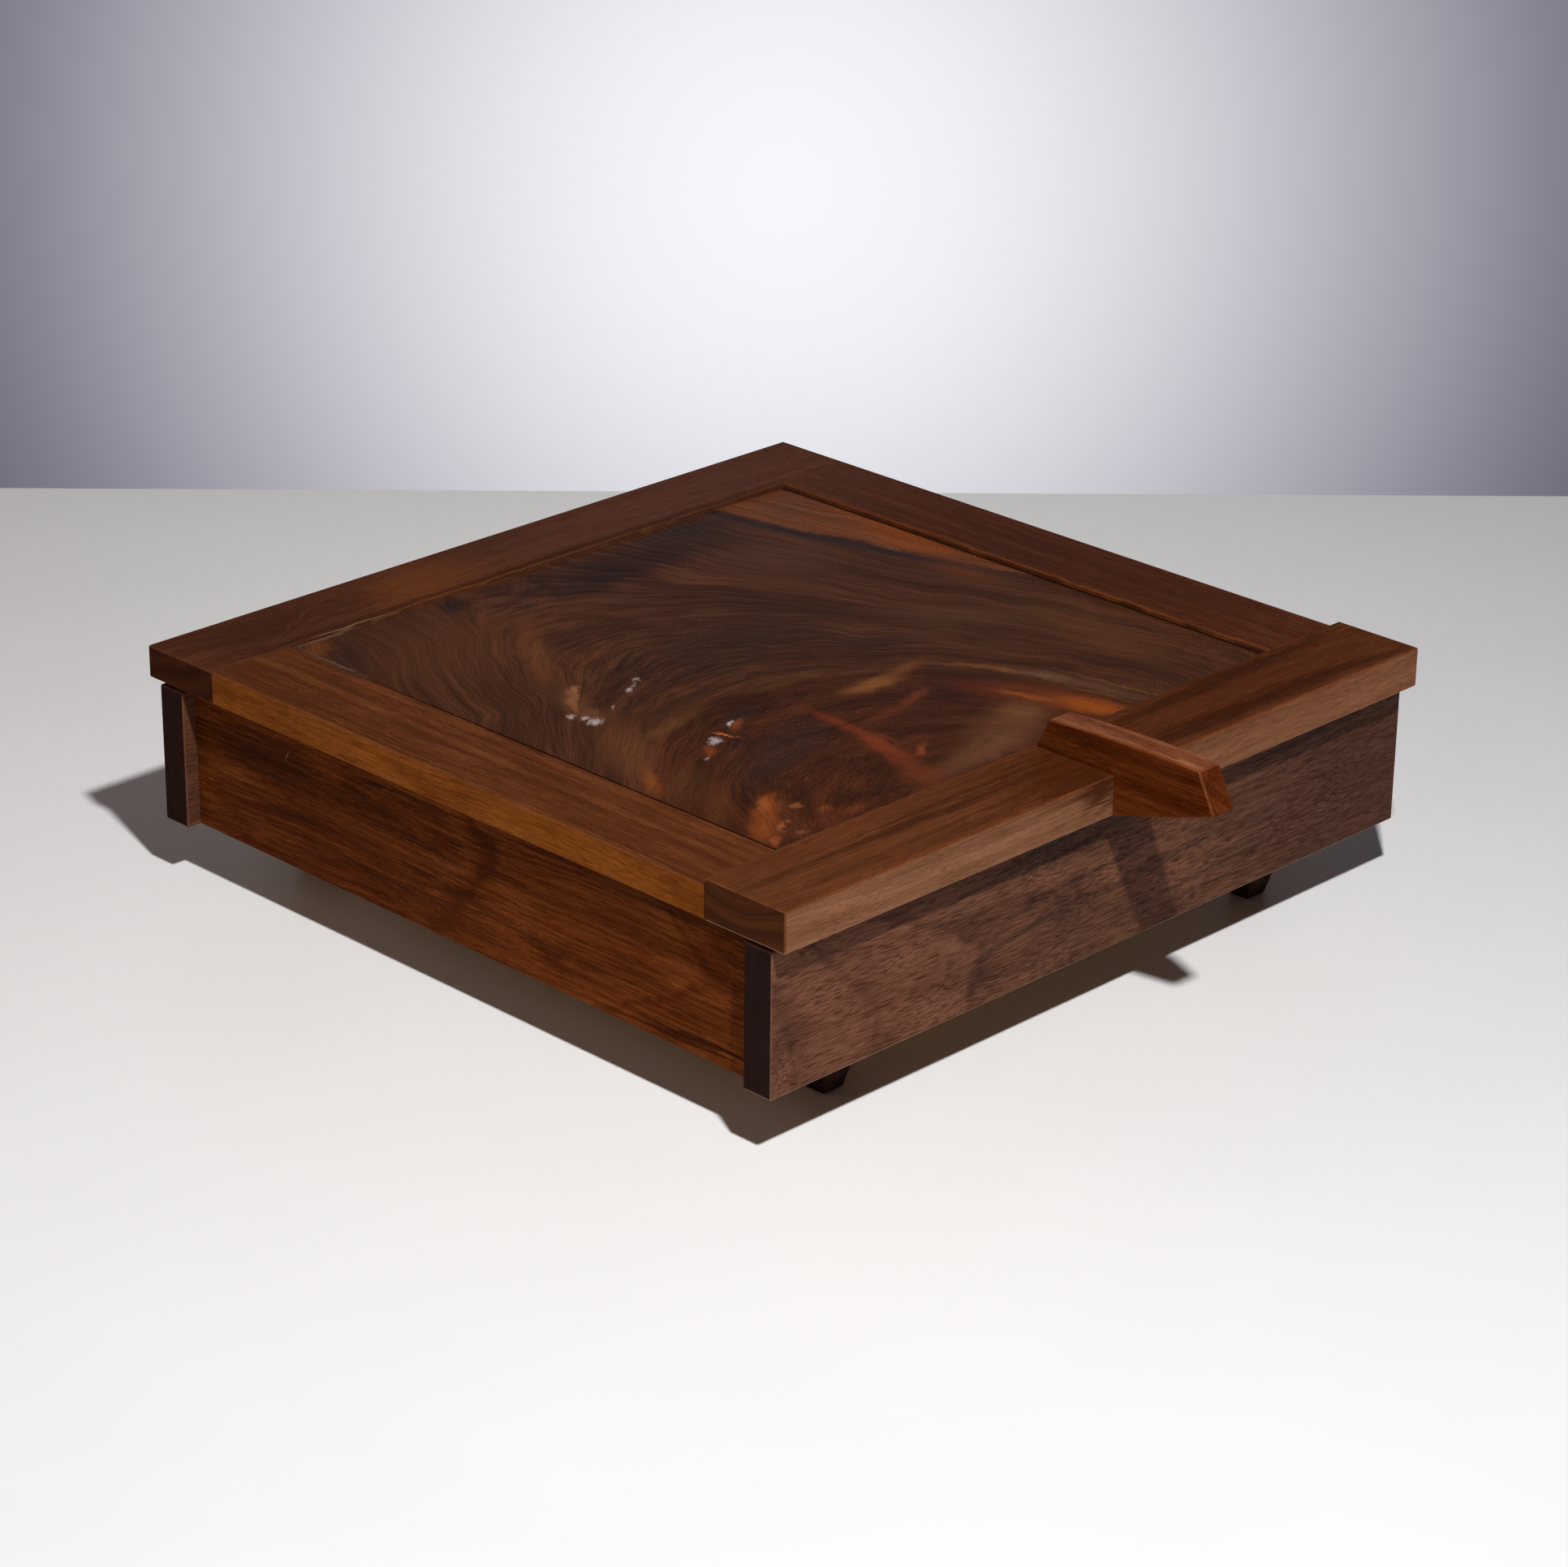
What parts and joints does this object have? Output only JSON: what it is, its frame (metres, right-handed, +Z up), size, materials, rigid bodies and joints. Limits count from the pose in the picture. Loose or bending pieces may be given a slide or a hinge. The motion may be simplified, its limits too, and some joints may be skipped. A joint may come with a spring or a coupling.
{
  "type": "mirror box",
  "caption": "Low square walnut box on tapered feet, with a framed lid hinged at the back, a mirror on the lid's underside and a bar finger pull notched over its front rail.",
  "frame": {"origin": "on the surface that the box stands on, under the middle of its outline, finger pull included", "axes": "+X to the right, +Y from the finger pull at the front to the hinges at the back, +Z up"},
  "size_m": [0.457, 0.5162, 0.147],
  "materials": {
    "end_board_walnut": "satin oil",
    "side_board_walnut": "satin oil",
    "frame_walnut": "satin oil",
    "figured_walnut": "satin oil",
    "handle_wood": "satin oil",
    "foot_wood": "satin oil",
    "bottom_wood": "matte",
    "bead_wood": "satin oil",
    "felt": "matte",
    "mirror": "polished",
    "backing": "matte",
    "hinge_brass": "brushed",
    "screw_brass": "satin",
    "screw_steel": "satin"
  },
  "bodies": {
    "box": {"front_board": "end_board_walnut", "back_board": "end_board_walnut", "left_side_board": "side_board_walnut", "right_side_board": "side_board_walnut", "bottom_panel": "bottom_wood", "bottom_lining": "felt", "foot_front_left": "foot_wood", "foot_front_right": "foot_wood", "foot_back_left": "foot_wood", "foot_back_right": "foot_wood", "foot_screws": "screw_steel", "bumpers": "felt", "hinge_body_leaf_left": "hinge_brass", "hinge_body_leaf_right": "hinge_brass", "hinge_pin_left": "hinge_brass", "hinge_pin_right": "hinge_brass", "body_leaf_screws": "screw_brass"},
    "lid": {"lid_front_rail": "frame_walnut", "lid_back_rail": "frame_walnut", "lid_left_stile": "frame_walnut", "lid_right_stile": "frame_walnut", "lid_panel": "figured_walnut", "handle": "handle_wood", "handle_screws": "screw_steel", "mirror_glass": "mirror", "mirror_backing": "backing", "mirror_bead_front": "bead_wood", "mirror_bead_back": "bead_wood", "mirror_bead_left": "bead_wood", "mirror_bead_right": "bead_wood", "bead_screws": "screw_brass", "hinge_lid_leaf_left": "hinge_brass", "hinge_lid_leaf_right": "hinge_brass", "lid_leaf_screws": "screw_brass"}
  },
  "joints": [
    {"name": "lid_hinge", "type": "hinge", "parent": "box", "child": "lid", "pos_m": [0, 0.25081, 0.1065], "axis": [-1, 0, 0], "range_deg": [0, 97]}
  ]
}
